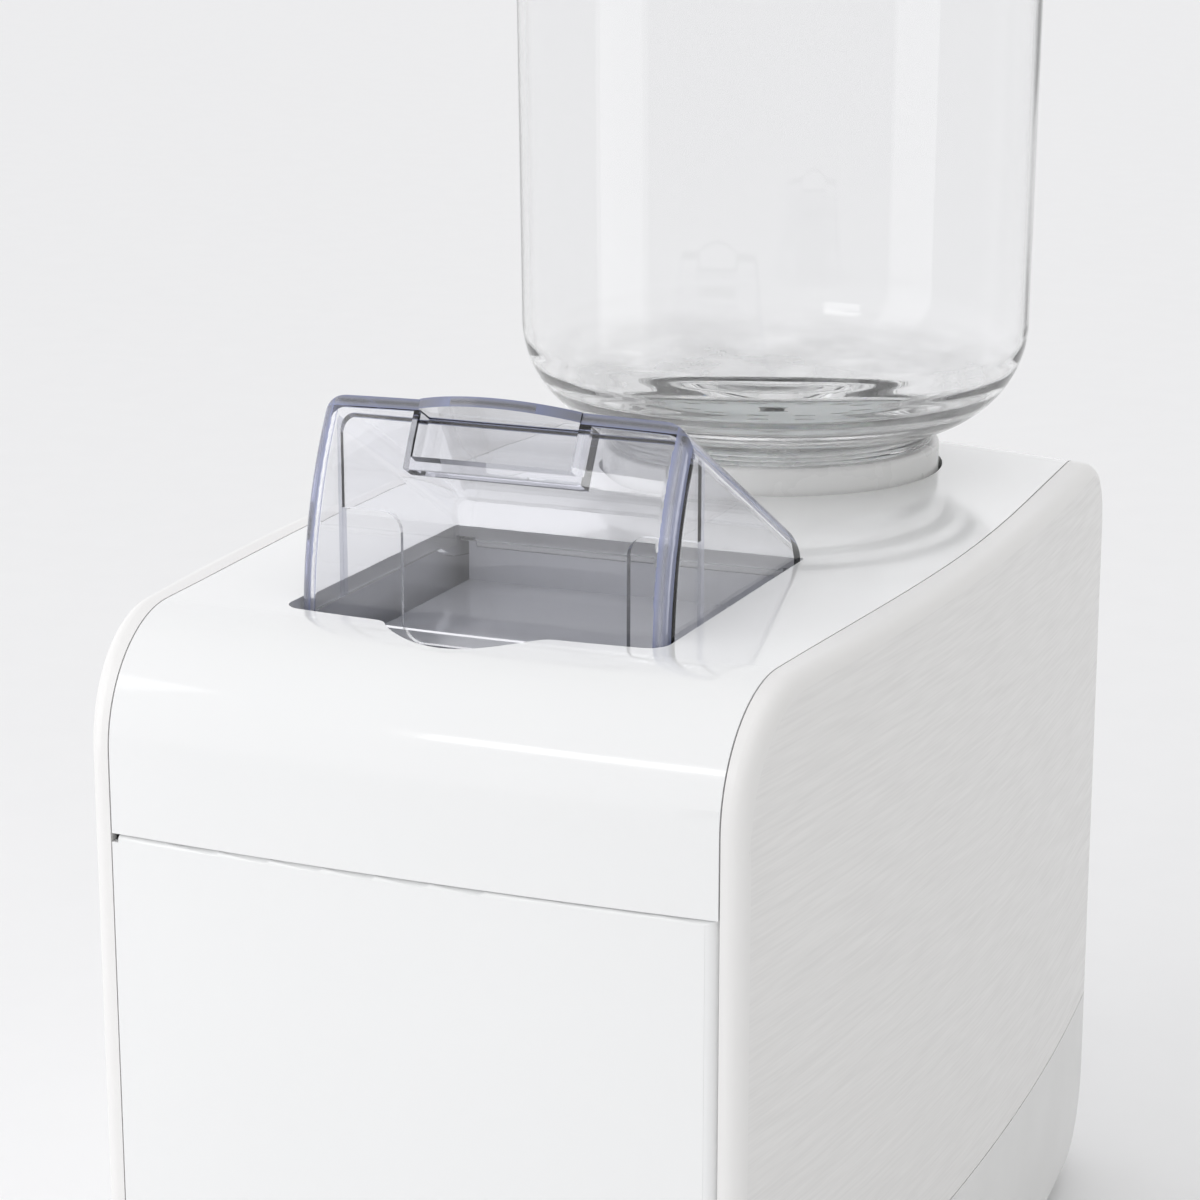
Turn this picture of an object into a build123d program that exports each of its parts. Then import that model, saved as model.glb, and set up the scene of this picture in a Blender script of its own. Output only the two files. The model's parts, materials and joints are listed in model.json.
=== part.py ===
from build123d import *
from math import cos, radians, sin
import os

# Countertop water dispenser: an inverted clear bottle feeds a reservoir, a pump and a heater,
# and a spout fills a cup in a bay behind the front door. Millimetres, +Z up, the front faces -Y,
# and the origin is on the table under the middle of the body.

# ---- body ------------------------------------------------------------------------------------
TOP = 200.0                 # height of the flat top
BODY_BOTTOM = 4.0           # underside of the base, above the feet
FRONT = -140.5              # plane of the two front corners
HALF_FRONT = 75.0           # half the width at the front corners
FRONT_BOW = 2.3             # how far the front bows forward
SIDE_BOW = 9.2              # how far each side bows out
SIDE_MID = FRONT + 138.0    # where a side is widest
REAR = FRONT + 276.0        # middle of the rear face
REAR_CORNER = FRONT + 262.0
HALF_REAR = 76.8
WALL = 2.6
FRONT_TOP_R = 28.0
REAR_TOP_R = 20.0
REAR_BOTTOM_R = 23.0
FRONT_BOTTOM_R = 8.0
CHEEK_R = 4.0               # rounding round the outline of each side
SEAM = 0.35                 # visible gap between two mouldings
FRONT_SEAM_Z = TOP - 45.4   # cover above, door below
SIDE_SEAM_Z = TOP - 151.6   # sides above, base below
REAR_SEAM_Z = TOP - 24.0    # cover above, rear cover below
SIDE_SEAM_X = ((69.6, -12.0), (71.2, 28.0), (76.8, 138.0), (71.2, 248.0), (69.6, 282.0))

# ---- hood and well ---------------------------------------------------------------------------
OPEN_ANGLE = 28.8           # the hood stands this far open, against its stop
HINGE_Y = FRONT + 128.5
HINGE_Z = TOP - 5.8
HOOD_HALF = 43.6
HOOD_R = 92.0               # front wall's outer radius about the hinge
HOOD_WALL = 2.3
HOOD_BOW = 2.2
HOOD_REAR_U = 18.8
TAB_HALF = 19.0
TAB_REACH = 5.0
POCKET_DEPTH = 3.6
POCKET_HEIGHT = 10.5
HOOD_SKIRT = 3.0            # how far the open hood still reaches below the top
INNER_PLATE_Y = FRONT + 56.0
INNER_PLATE_T = 2.0
RIM_HALF = 44.6
RIM_FRONT = FRONT + 31.5
RIM_REAR = FRONT + 117.6
RIM_BOW = 2.45
RIM_SKIRT_Z = TOP - 4.9
SCOOP_R = 21.0              # round finger scoop in the rim's front edge
SCOOP_Y = FRONT + 18.0
FLOOR_Z = TOP - 13.3        # shallow rear floor of the well
FLOOR_HALF = 40.2
FLOOR_FRONT = FRONT + 72.0
FLOOR_LIP = FRONT + 59.0    # the floor's front lip overhangs the pit this far
PIT_Z = TOP - 52.0          # deep front of the well, where the hood swings down
LINER_T = 2.0
PIN_R = 1.5
RUN = 0.05                  # radial clearance of a pin that turns

# ---- bottle ----------------------------------------------------------------------------------
BOTTLE_Y = FRONT + 216.0
BOTTLE_R = 65.2
BOTTLE_WALL = 2.2
BOTTLE_TOP = TOP + 258.0
SHOULDER_R = 28.0
NECK_R = 39.4
CAP_R = 43.0
CAP_TOP = TOP + 6.5
CAP_BOTTOM = TOP - 16.0
COLLAR_HOLE_R = 44.0
VALVE_LIFT = 6.0

# ---- bay, door and tray ----------------------------------------------------------------------
BAY_HALF = 62.0
BAY_BACK = FRONT + 78.0
BAY_FLOOR = TOP - 150.0
BAY_CEILING = TOP - 60.0
BAY_T = 2.0
DOOR_T = 3.4
DOOR_HINGE_X = 67.0
DOOR_HINGE_Y = FRONT + 2.3
DOOR_BARREL_R = 2.7
DOOR_PIN_R = 1.25
DOOR_EDGE_R = 1.0           # rounding along the door's upper edge
TRAY_HALF = 60.6
TRAY_LOW = 10.4
TRAY_HIGH = 43.6
TRAY_DEPTH = 84.0
SPOUT_Z = TOP - 67.0
SPOUT_Y = FRONT + 42.0
PADDLE_Y = FRONT + 74.0
PADDLE_Z = TOP - 88.0

# ---- inside ----------------------------------------------------------------------------------
SHELF_Z = 125.0
BULKHEAD_Y = FRONT + 137.0
PUMP_Y = FRONT + 178.0
PUMP_Z = 58.0
PUMP_R = 19.0
HEATER_Y = FRONT + 112.0
HOSE_R = 4.0
INLET_X = -34.0
SWITCH_X = 34.0
SOCKET_Z = 74.0

REACH = 400.0               # longer than the body, for cutters


def save(piece, label):
    """Names a finished piece and writes it as its own STEP file."""
    piece.part.label = label
    export_step(piece.part, f"parts/{label}.step")


def plan_outline():
    """The body's barrel-shaped plan: bowed front, sides and back."""
    with BuildSketch() as plan:
        with BuildLine():
            ThreePointArc((-HALF_FRONT, FRONT), (0, FRONT - FRONT_BOW), (HALF_FRONT, FRONT))
            ThreePointArc((HALF_FRONT, FRONT), (HALF_FRONT + SIDE_BOW, SIDE_MID), (HALF_REAR, REAR_CORNER))
            ThreePointArc((HALF_REAR, REAR_CORNER), (0, REAR), (-HALF_REAR, REAR_CORNER))
            ThreePointArc((-HALF_REAR, REAR_CORNER), (-HALF_FRONT - SIDE_BOW, SIDE_MID), (-HALF_FRONT, FRONT))
        make_face()
    return plan.sketch


def middle_zone(gap):
    """Plan of everything between the two seams, drawn in or let out by gap."""
    right = [(x + gap, FRONT + y) for x, y in SIDE_SEAM_X]
    left = [(-x, y) for x, y in reversed(right)]
    with BuildSketch() as zone:
        with BuildLine():
            Spline(*right)
            Line(right[-1], left[0])
            Spline(*left)
            Line(left[-1], right[0])
        make_face()
    return zone.sketch


def rim_outline(grow):
    """Opening in the top for the hood: a bowed front edge with a finger scoop in its middle."""
    half, front, rear = RIM_HALF + grow, RIM_FRONT - grow, RIM_REAR + grow
    with BuildSketch() as rim:
        with BuildLine():
            Polyline((-half, front), (-half, rear), (half, rear), (half, front))
            ThreePointArc((half, front), (0, front - RIM_BOW), (-half, front))
        make_face()
        fillet(rim.vertices().group_by(Axis.Y)[0], 5 + grow)
        fillet(rim.vertices().group_by(Axis.Y)[-1], 1.5 + grow)
        with Locations((0, SCOOP_Y + SCOOP_R)):
            Circle(SCOOP_R + grow)
        fillet(rim.vertices().filter_by_position(Axis.X, -25, 25), 4 - grow)
    return rim.sketch


def rod(start, end, radius):
    """A round bar from start to end, added to the open part."""
    along = Vector(*end) - Vector(*start)
    with Locations(Plane(origin=start, z_dir=along)):
        Cylinder(radius, along.length, align=(Align.CENTER, Align.CENTER, Align.MIN))


def block(low, high, mode=Mode.ADD):
    """A box between two opposite corners, added to the open part or cut from it."""
    with Locations((Vector(*low) + Vector(*high)) / 2):
        Box(*[abs(b - a) for a, b in zip(low, high)], mode=mode)


def body_form(inset):
    """The whole body as one solid, its faces moved in by inset."""
    with BuildPart() as form:
        with BuildSketch(Plane.XY.offset(BODY_BOTTOM + inset)):
            add(plan_outline())
            if inset:
                offset(amount=-inset, kind=Kind.INTERSECTION, mode=Mode.REPLACE)
        extrude(amount=TOP - BODY_BOTTOM - 2 * inset)
        for pick, radius in ((0, FRONT_TOP_R), (-1, REAR_TOP_R)):
            top_edges = form.faces().sort_by(Axis.Z)[-1].edges().sort_by(Axis.Y)
            fillet(top_edges[pick], radius - inset)
        for pick, radius in ((0, FRONT_BOTTOM_R), (-1, REAR_BOTTOM_R)):
            low_edges = form.faces().sort_by(Axis.Z)[0].edges().sort_by(Axis.Y)
            fillet(low_edges[pick], radius - inset)
        sides = form.faces().sort_by(Axis.X)
        fillet(sides[0].edges() + sides[-1].edges(), CHEEK_R - inset)
    return form.part


os.makedirs("parts", exist_ok=True)
outer = body_form(0)
inner = body_form(WALL)

# ---- side shells ---------------------------------------------------------------------------------
for side, label in ((-1, "left_side_shell"), (1, "right_side_shell")):
    with BuildPart() as side_shell:
        add(outer)
        add(inner, mode=Mode.SUBTRACT)
        with BuildSketch():
            add(middle_zone(SEAM / 2))
        extrude(amount=REACH, mode=Mode.SUBTRACT)
        block((0, -REACH, SIDE_SEAM_Z), (side * REACH, REACH, REACH), mode=Mode.INTERSECT)
        for y, z in ((FRONT + 100, 160), (FRONT + 100, 70), (FRONT + 240, 160), (FRONT + 240, 70)):
            boss = Plane(origin=(side * 72, y, z), z_dir=(side, 0, 0))
            with BuildSketch(boss):
                Circle(4)
            extrude(amount=14)
        add(outer, mode=Mode.INTERSECT)
    save(side_shell, label)

# ---- top and front cover -------------------------------------------------------------------------
with BuildPart() as top_front_cover:
    add(outer)
    add(inner, mode=Mode.SUBTRACT)
    with BuildSketch():
        add(middle_zone(-SEAM / 2))
    extrude(amount=REACH, mode=Mode.INTERSECT)
    block((-REACH, -REACH, FRONT_SEAM_Z + SEAM / 2), (REACH, REACH, REACH), mode=Mode.INTERSECT)
    block((-REACH, 0, 0), (REACH, REACH, REAR_SEAM_Z + SEAM / 2), mode=Mode.SUBTRACT)
    with BuildSketch(Plane.XY.offset(RIM_SKIRT_Z)):
        add(rim_outline(1.6))
    extrude(amount=TOP - RIM_SKIRT_Z)
    with BuildSketch(Plane.XY.offset(FRONT_SEAM_Z + SEAM / 2)):
        with Locations((DOOR_HINGE_X, DOOR_HINGE_Y)):
            Circle(DOOR_BARREL_R)
    extrude(amount=6)
    add(outer, mode=Mode.INTERSECT)
    with BuildSketch(Plane.XY.offset(RIM_SKIRT_Z - 20)):
        add(rim_outline(0))
        with Locations((0, BOTTLE_Y)):
            Circle(COLLAR_HOLE_R)
    extrude(amount=40, mode=Mode.SUBTRACT)
    for side in (-1, 1):
        block((side * 38, RIM_REAR - 1, TOP - 20), (side * 48, RIM_REAR + 4, TOP - WALL), mode=Mode.SUBTRACT)
    with BuildSketch(Plane.XY.offset(FRONT_SEAM_Z)):
        with Locations((DOOR_HINGE_X, DOOR_HINGE_Y)):
            Circle(DOOR_PIN_R)
    extrude(amount=4.5, mode=Mode.SUBTRACT)
save(top_front_cover, "top_front_cover")

# ---- rear cover ------------------------------------------------------------------------------------
with BuildPart() as rear_cover:
    add(outer)
    add(inner, mode=Mode.SUBTRACT)
    with BuildSketch():
        add(middle_zone(-SEAM / 2))
    extrude(amount=REACH, mode=Mode.INTERSECT)
    block((-REACH, 0, SIDE_SEAM_Z + SEAM / 2), (REACH, REACH, REAR_SEAM_Z - SEAM / 2), mode=Mode.INTERSECT)
    with BuildSketch(Plane.XZ.offset(-REAR - 10)):
        with Locations((0, 138)):
            with GridLocations(0, 7, 1, 7):
                SlotOverall(70, 3)
        with Locations((INLET_X, SOCKET_Z)):
            Rectangle(28, 20)
        with Locations((SWITCH_X, SOCKET_Z)):
            Rectangle(13.2, 19.2)
    extrude(amount=40, mode=Mode.SUBTRACT)
save(rear_cover, "rear_cover")

# ---- base ------------------------------------------------------------------------------------------
FEET = [(x, FRONT + y) for x in (-55, 55) for y in (28, 232)]
BASE_POSTS = [(x, FRONT + y) for x in (-62, 62) for y in (100, 200)]
with BuildPart() as base_chassis:
    add(outer)
    add(inner, mode=Mode.SUBTRACT)
    block((-REACH, -REACH, 0), (REACH, REACH, SIDE_SEAM_Z - SEAM), mode=Mode.INTERSECT)
    block((-TRAY_HALF - 0.4, FRONT - 10, TRAY_LOW - 0.4), (TRAY_HALF + 0.4, FRONT + 8, TRAY_HIGH + 0.4),
          mode=Mode.SUBTRACT)
    with BuildSketch(Plane.XY.offset(BODY_BOTTOM + 1)):
        with Locations(*BASE_POSTS):
            Circle(5)
    extrude(amount=SIDE_SEAM_Z - BODY_BOTTOM - 2)
    with BuildSketch(Plane.XY.offset(BODY_BOTTOM + 1)):
        for side in (-1, 1):
            with Locations((side * (TRAY_HALF + 2), FRONT + 48)):
                Rectangle(2, 80)
        with Locations((0, FRONT + TRAY_DEPTH + 4)):
            Rectangle(2 * TRAY_HALF + 6, 2)
    extrude(amount=TRAY_HIGH - BODY_BOTTOM - 1)
    with BuildSketch(Plane.XY.offset(SIDE_SEAM_Z - SEAM - 6)):
        with Locations((DOOR_HINGE_X, DOOR_HINGE_Y)):
            Circle(DOOR_BARREL_R)
    extrude(amount=6)
    with BuildSketch(Plane.XY.offset(SIDE_SEAM_Z - 5)):
        with Locations((DOOR_HINGE_X, DOOR_HINGE_Y)):
            Circle(DOOR_PIN_R)
    extrude(amount=6, mode=Mode.SUBTRACT)
    with BuildSketch(Plane.XY.offset(BODY_BOTTOM)):
        with Locations(*FEET):
            Circle(9.1)
    extrude(amount=1.2, mode=Mode.SUBTRACT)
    with BuildSketch(Plane.XY.offset(BODY_BOTTOM - 1)):
        with Locations(*BASE_POSTS):
            Circle(3.7)
    extrude(amount=3.6, mode=Mode.SUBTRACT)
    with BuildSketch(Plane.XY.offset(BODY_BOTTOM)):
        with Locations(*BASE_POSTS):
            Circle(1.8)
    extrude(amount=24, mode=Mode.SUBTRACT)
save(base_chassis, "base_chassis")

with BuildPart() as rubber_feet:
    with BuildSketch():
        with Locations(*FEET):
            Circle(9)
    extrude(amount=BODY_BOTTOM + 1.2)
    fillet(rubber_feet.faces().sort_by(Axis.Z)[:4].edges(), 0.8)
save(rubber_feet, "rubber_feet")

# ---- front door, its pins, magnet and catch ----------------------------------------------------------
DOOR_LOW = SIDE_SEAM_Z + SEAM / 2
DOOR_HIGH = FRONT_SEAM_Z - SEAM / 2
door_back = body_form(DOOR_T)
with BuildPart() as front_door:
    add(outer)
    add(door_back, mode=Mode.SUBTRACT)
    block((-70 + SEAM / 2, -REACH, DOOR_LOW), (DOOR_HINGE_X, FRONT + 20, DOOR_HIGH), mode=Mode.INTERSECT)
    with BuildSketch(Plane.XY.offset(DOOR_LOW)):
        with Locations((DOOR_HINGE_X, DOOR_HINGE_Y)):
            Circle(DOOR_BARREL_R)
    extrude(amount=DOOR_HIGH - DOOR_LOW)
    block((-71, FRONT - 5, DOOR_HIGH - 1.6), (-68.2, FRONT + 8, DOOR_HIGH + 1), mode=Mode.SUBTRACT)
    for end in (DOOR_LOW, DOOR_HIGH - 6):
        with BuildSketch(Plane.XY.offset(end)):
            with Locations((DOOR_HINGE_X, DOOR_HINGE_Y)):
                Circle(DOOR_PIN_R + RUN)
        extrude(amount=6, mode=Mode.SUBTRACT)
    top_face = front_door.faces().sort_by(Axis.Z)[-1]
    fillet(top_face.edges().sort_by(Axis.Y)[0], DOOR_EDGE_R)
save(front_door, "front_door")

with BuildPart() as door_hinge_pins:
    for low, high in ((SIDE_SEAM_Z - 5, DOOR_LOW + 5.5), (DOOR_HIGH - 5.5, FRONT_SEAM_Z + 4.5)):
        rod((DOOR_HINGE_X, DOOR_HINGE_Y, low), (DOOR_HINGE_X, DOOR_HINGE_Y, high), DOOR_PIN_R)
save(door_hinge_pins, "door_hinge_pins")

DOOR_INNER_Y = FRONT + DOOR_T
with BuildPart() as door_magnet:
    block((-66, DOOR_INNER_Y, 95), (-63.2, DOOR_INNER_Y + 2.2, 107))
save(door_magnet, "door_magnet")

with BuildPart() as door_catch_plate:
    block((-66.5, DOOR_INNER_Y + 3.0, 94), (-62.7, DOOR_INNER_Y + 4.0, 108))
save(door_catch_plate, "door_catch_plate")

# ---- cup bay -----------------------------------------------------------------------------------------
BAY_FACE = DOOR_INNER_Y + 4.0
with BuildPart() as bay_liner:
    block((-BAY_HALF - BAY_T, BAY_FACE, BAY_FLOOR - BAY_T),
          (BAY_HALF + BAY_T, BAY_BACK + BAY_T, BAY_CEILING + BAY_T))
    block((-68, BAY_FACE, BAY_FLOOR - BAY_T), (68, BAY_FACE + 2, FRONT_SEAM_Z - 2))
    with BuildSketch(Plane.XY.offset(BAY_FLOOR)):
        with Locations((0, (BAY_FACE - 5 + BAY_BACK) / 2)):
            bay_plan = Rectangle(2 * BAY_HALF, BAY_BACK - BAY_FACE + 5)
        fillet(bay_plan.vertices().group_by(Axis.Y)[-1], 10)
    extrude(amount=BAY_CEILING - BAY_FLOOR, mode=Mode.SUBTRACT)
    block((-52, FRONT + 14, BAY_FLOOR - 5), (52, FRONT + 70, BAY_FLOOR + 5), mode=Mode.SUBTRACT)
    for side in (-1, 1):
        with BuildSketch(Plane.YZ.offset(side * 17.6 - 1.5)):
            with Locations((PADDLE_Y, PADDLE_Z)):
                Circle(3.5)
            with Locations((PADDLE_Y + 2.5, PADDLE_Z)):
                Rectangle(5, 7)
            with Locations((PADDLE_Y, PADDLE_Z)):
                Circle(PIN_R, mode=Mode.SUBTRACT)
        extrude(amount=3)
    with BuildSketch(Plane.XZ.offset(-BAY_BACK + 6)):
        with Locations((0, SPOUT_Z)):
            Circle(5.2)
        with Locations((0, PADDLE_Z)):
            Rectangle(9, 12)
    extrude(amount=-14, mode=Mode.SUBTRACT)
save(bay_liner, "bay_liner")


def hose(points, bend, outer_r, bore_r):
    """A tube along straight runs joined by tangent arcs."""
    with BuildPart() as tube:
        with BuildLine() as route:
            FilletPolyline(*points, radius=bend)
        path = route.wires()[0]
        with BuildSketch(Plane(origin=path @ 0, z_dir=path % 0)):
            Circle(outer_r)
            Circle(bore_r, mode=Mode.SUBTRACT)
        sweep(path=path)
    return tube.part


HOSE_BORE = 2.6
BARB_BORE = 1.6
SPOUT_BARB = (0, BAY_BACK + 16, SPOUT_Z)
with BuildPart() as spout:
    spout_route = [(0, BAY_BACK + 6, SPOUT_Z), (0, SPOUT_Y, SPOUT_Z), (0, SPOUT_Y, SPOUT_Z - 16)]
    add(hose(spout_route, 10, 5, BARB_BORE))
    with BuildSketch(Plane.XZ.offset(-BAY_BACK)):
        with Locations((0, SPOUT_Z)):
            Circle(6.6)
            Circle(5, mode=Mode.SUBTRACT)
    extrude(amount=2)
    with BuildSketch(Plane.XZ.offset(-BAY_BACK - 6)):
        with Locations((0, SPOUT_Z)):
            Circle(HOSE_BORE)
            Circle(BARB_BORE, mode=Mode.SUBTRACT)
    extrude(amount=-10)
save(spout, "spout")

with BuildPart() as cup_paddle:
    rod((-15.7, PADDLE_Y, PADDLE_Z), (15.7, PADDLE_Y, PADDLE_Z), 3)
    with BuildSketch(Plane.XZ.offset(-PADDLE_Y + 0.5)):
        with Locations((0, PADDLE_Z - 19)):
            RectangleRounded(28, 42, 5)
    extrude(amount=2.5)
    block((-3, PADDLE_Y, PADDLE_Z - 1.5), (3, PADDLE_Y + 14, PADDLE_Z + 1.5))
    with BuildSketch(Plane.YZ.offset(-20)):
        with Locations((PADDLE_Y, PADDLE_Z)):
            Circle(PIN_R + RUN)
    extrude(amount=40, mode=Mode.SUBTRACT)
save(cup_paddle, "cup_paddle")

with BuildPart() as paddle_pin:
    rod((-19.5, PADDLE_Y, PADDLE_Z), (19.5, PADDLE_Y, PADDLE_Z), PIN_R)
save(paddle_pin, "paddle_pin")

with BuildPart() as paddle_switch:
    block((-10, PADDLE_Y + 10, PADDLE_Z + 4.5), (10, PADDLE_Y + 22, PADDLE_Z + 15))
    block((-2.5, PADDLE_Y + 8, PADDLE_Z + 3.4), (2.5, PADDLE_Y + 21, PADDLE_Z + 3.8))
    block((-2.5, PADDLE_Y + 19, PADDLE_Z + 3.8), (2.5, PADDLE_Y + 21, PADDLE_Z + 4.5))
save(paddle_switch, "paddle_switch")

# ---- drip tray ---------------------------------------------------------------------------------------
TRAY_BACK = FRONT + TRAY_DEPTH
with BuildPart() as drip_tray:
    add(outer)
    add(inner, mode=Mode.SUBTRACT)
    block((-TRAY_HALF, -REACH, TRAY_LOW), (TRAY_HALF, FRONT + 8, TRAY_HIGH), mode=Mode.INTERSECT)
    block((-58, FRONT + 1.0, TRAY_LOW + 1.6), (58, TRAY_BACK, TRAY_HIGH - 1.6))
    block((-56, FRONT + 5, TRAY_LOW + 3.6), (56, TRAY_BACK - 2, TRAY_HIGH + 1), mode=Mode.SUBTRACT)
    with BuildSketch(Plane.XY.offset(TRAY_LOW + 3)):
        with Locations((0, FRONT + TRAY_DEPTH / 2 + 1.5)):
            with GridLocations(104, 69, 2, 2):
                Rectangle(6, 6)
    extrude(amount=TRAY_HIGH - TRAY_LOW - 7)
    with BuildSketch(Plane.XZ.offset(-FRONT + 10)):
        with Locations((0, TRAY_HIGH)):
            SlotOverall(44, 10)
    extrude(amount=-14, mode=Mode.SUBTRACT)
save(drip_tray, "drip_tray")

GRILLE_LOW = TRAY_HIGH - 4
with BuildPart() as drip_grille:
    with BuildSketch(Plane.XY.offset(GRILLE_LOW)):
        with Locations((0, FRONT + TRAY_DEPTH / 2 + 1.5)):
            RectangleRounded(111.4, 76.4, 3)
            with GridLocations(6, 0, 15, 1):
                SlotOverall(64, 3, rotation=90, mode=Mode.SUBTRACT)
    extrude(amount=2.4)
save(drip_grille, "drip_grille")

# ---- well under the hood -----------------------------------------------------------------------------
CHANNEL_BACK = FRONT + 134.0
WELL_HALF = RIM_HALF + 0.6
liner_space = body_form(WALL + 0.6)
with BuildPart() as well_liner:
    top = RIM_SKIRT_Z - 0.2
    outer_half = WELL_HALF + LINER_T
    block((-outer_half, RIM_FRONT - 2.5, PIT_Z - LINER_T), (outer_half, RIM_REAR + LINER_T, top))
    block((-25, SCOOP_Y - 2.5, TOP - 44), (25, RIM_FRONT, top))
    for side in (-1, 1):
        block((side * 38.2, RIM_REAR, TOP - 20), (side * outer_half, CHANNEL_BACK, TOP - WALL - 0.2))
    block((-WELL_HALF, RIM_FRONT - 0.5, PIT_Z), (WELL_HALF, FLOOR_FRONT, TOP), mode=Mode.SUBTRACT)
    block((-23, SCOOP_Y - 0.5, TOP - 42), (23, RIM_FRONT + 1, TOP), mode=Mode.SUBTRACT)
    block((-FLOOR_HALF, FLOOR_FRONT - 1, FLOOR_Z), (FLOOR_HALF, RIM_REAR, TOP), mode=Mode.SUBTRACT)
    block((-FLOOR_HALF + LINER_T, FLOOR_FRONT + LINER_T, 0),
          (FLOOR_HALF - LINER_T, RIM_REAR, FLOOR_Z - LINER_T), mode=Mode.SUBTRACT)
    for side in (-1, 1):
        with BuildSketch(Plane.YZ.offset(side * (FLOOR_HALF + WELL_HALF) / 2)):
            with BuildLine():
                Polyline(
                    (FLOOR_FRONT - 1, PIT_Z), (FLOOR_FRONT - 1, TOP), (CHANNEL_BACK - LINER_T, TOP),
                    (CHANNEL_BACK - LINER_T, TOP - 18), (FRONT + 108, TOP - 20), (FLOOR_FRONT + 4, PIT_Z + 8),
                    (FLOOR_FRONT, PIT_Z), close=True,
                )
            make_face()
        extrude(amount=(WELL_HALF - FLOOR_HALF) / 2, both=True, mode=Mode.SUBTRACT)
    block((-FLOOR_HALF, FLOOR_LIP, FLOOR_Z - LINER_T), (FLOOR_HALF, FLOOR_FRONT + 1, FLOOR_Z))
    with BuildSketch(Plane.YZ.offset(-WELL_HALF - 10)):
        with Locations((HINGE_Y, HINGE_Z)):
            Circle(PIN_R)
    extrude(amount=2 * WELL_HALF + 20, mode=Mode.SUBTRACT)
    with BuildSketch(Plane.XZ.offset(-FLOOR_FRONT + 1)):
        with Locations((0, PIT_Z + 6)):
            Circle(2.2)
    extrude(amount=-5, mode=Mode.SUBTRACT)
    add(liner_space, mode=Mode.INTERSECT)
save(well_liner, "well_liner")

BUTTON_R = 1.6
with BuildPart() as hood_switch:
    block((-9, FLOOR_FRONT + LINER_T, PIT_Z + 1), (9, FLOOR_FRONT + 13, PIT_Z + 12))
    with BuildSketch(Plane.XZ.offset(-FLOOR_FRONT)):
        with Locations((0, PIT_Z + 6)):
            Circle(BUTTON_R + RUN)
    extrude(amount=-9, mode=Mode.SUBTRACT)
save(hood_switch, "hood_switch")

with BuildPart() as hood_switch_button:
    rod((0, FLOOR_FRONT - 3, PIT_Z + 6), (0, FLOOR_FRONT + 7, PIT_Z + 6), BUTTON_R)
    fillet(hood_switch_button.faces().sort_by(Axis.Y)[0].edges(), 0.8)
save(hood_switch_button, "hood_switch_button")

# ---- hood --------------------------------------------------------------------------------------------
TILT_COS, TILT_SIN = cos(radians(OPEN_ANGLE)), sin(radians(OPEN_ANGLE))
PLATE_V = TOP - HINGE_Z     # the plate's top, measured square to it from the hinge
HOOD_SIDE = Plane(origin=(0, HINGE_Y, HINGE_Z), x_dir=(0, -TILT_COS, TILT_SIN), z_dir=(-1, 0, 0))
HOOD_PLATE = Plane(origin=(0, HINGE_Y, HINGE_Z), x_dir=(1, 0, 0), z_dir=(0, TILT_SIN, TILT_COS))
HOOD_ALONG = Plane(origin=(0, HINGE_Y, HINGE_Z), x_dir=(1, 0, 0), z_dir=(0, -TILT_COS, TILT_SIN))


def hood_point(u, v):
    """Y and Z of a point u along the open hood's plate from the hinge and v above it."""
    return HINGE_Y - u * TILT_COS + v * TILT_SIN, HINGE_Z + u * TILT_SIN + v * TILT_COS


def hood_form(inset, skirt):
    """The hood as one solid: a drum about the hinge, cut by the plate, the rear flap and rounded sides."""
    half, radius = HOOD_HALF - inset, HOOD_R - inset
    plate_rear = hood_point(HOOD_REAR_U + inset, PLATE_V - inset)
    plate_front = hood_point(HOOD_R + 20, PLATE_V - inset)
    flap_y = RIM_REAR - 0.6 - inset
    with BuildPart() as form:
        with BuildSketch(Plane.XY.offset(HINGE_Z)) as drum:
            with BuildLine():
                front_y = HINGE_Y - radius
                Polyline((half, front_y), (half, HINGE_Y), (-half, HINGE_Y), (-half, front_y))
                ThreePointArc((-half, front_y), (0, front_y - HOOD_BOW), (half, front_y))
            make_face()
            fillet(drum.vertices().group_by(Axis.Y)[0], 4.5 - inset)
        revolve(axis=Axis((0, HINGE_Y, HINGE_Z), (1, 0, 0)))
        with BuildSketch(Plane.YZ):
            with BuildLine():
                Polyline(
                    plate_front, plate_rear, (flap_y, TOP + 0.6), (flap_y, TOP - skirt),
                    (FRONT, TOP - skirt), (FRONT, plate_front[1]), close=True,
                )
            make_face()
        extrude(amount=REACH, both=True, mode=Mode.INTERSECT)
        with BuildSketch(HOOD_ALONG) as arch:
            with Locations((0, PLATE_V - inset - 70)):
                Rectangle(2 * half, 140)
            fillet(arch.vertices().group_by(Axis.Y)[-1], 6 - inset)
        extrude(amount=REACH, both=True, mode=Mode.INTERSECT)
    return form.part


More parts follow.
